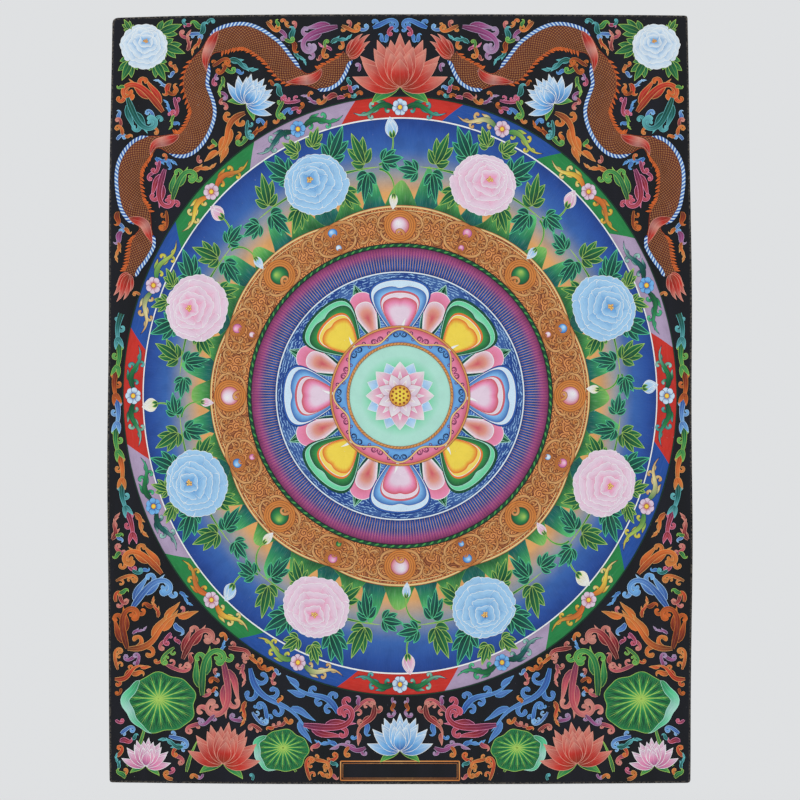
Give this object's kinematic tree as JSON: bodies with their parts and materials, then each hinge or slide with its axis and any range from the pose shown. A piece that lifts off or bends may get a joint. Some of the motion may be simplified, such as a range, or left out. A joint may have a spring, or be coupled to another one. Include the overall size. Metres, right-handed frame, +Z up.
{
  "type": "thangka painting on cloth",
  "caption": "Flat painted canvas wall hanging with slightly bellied sides and shallow folds, held along its top edge.",
  "frame": {"origin": "middle of the cloth's top edge, in the middle of its thickness", "axes": "+Z up along the drop, -Y out of the painted face towards the viewer, +X to the viewer's right"},
  "size_m": [0.5626, 0.0103, 0.74],
  "materials": {
    "painted_cloth": "matte mineral and gouache paint on primed cotton canvas, many colours on black"
  },
  "bodies": {
    "root": {"painted_cloth": "painted_cloth"}
  },
  "joints": []
}
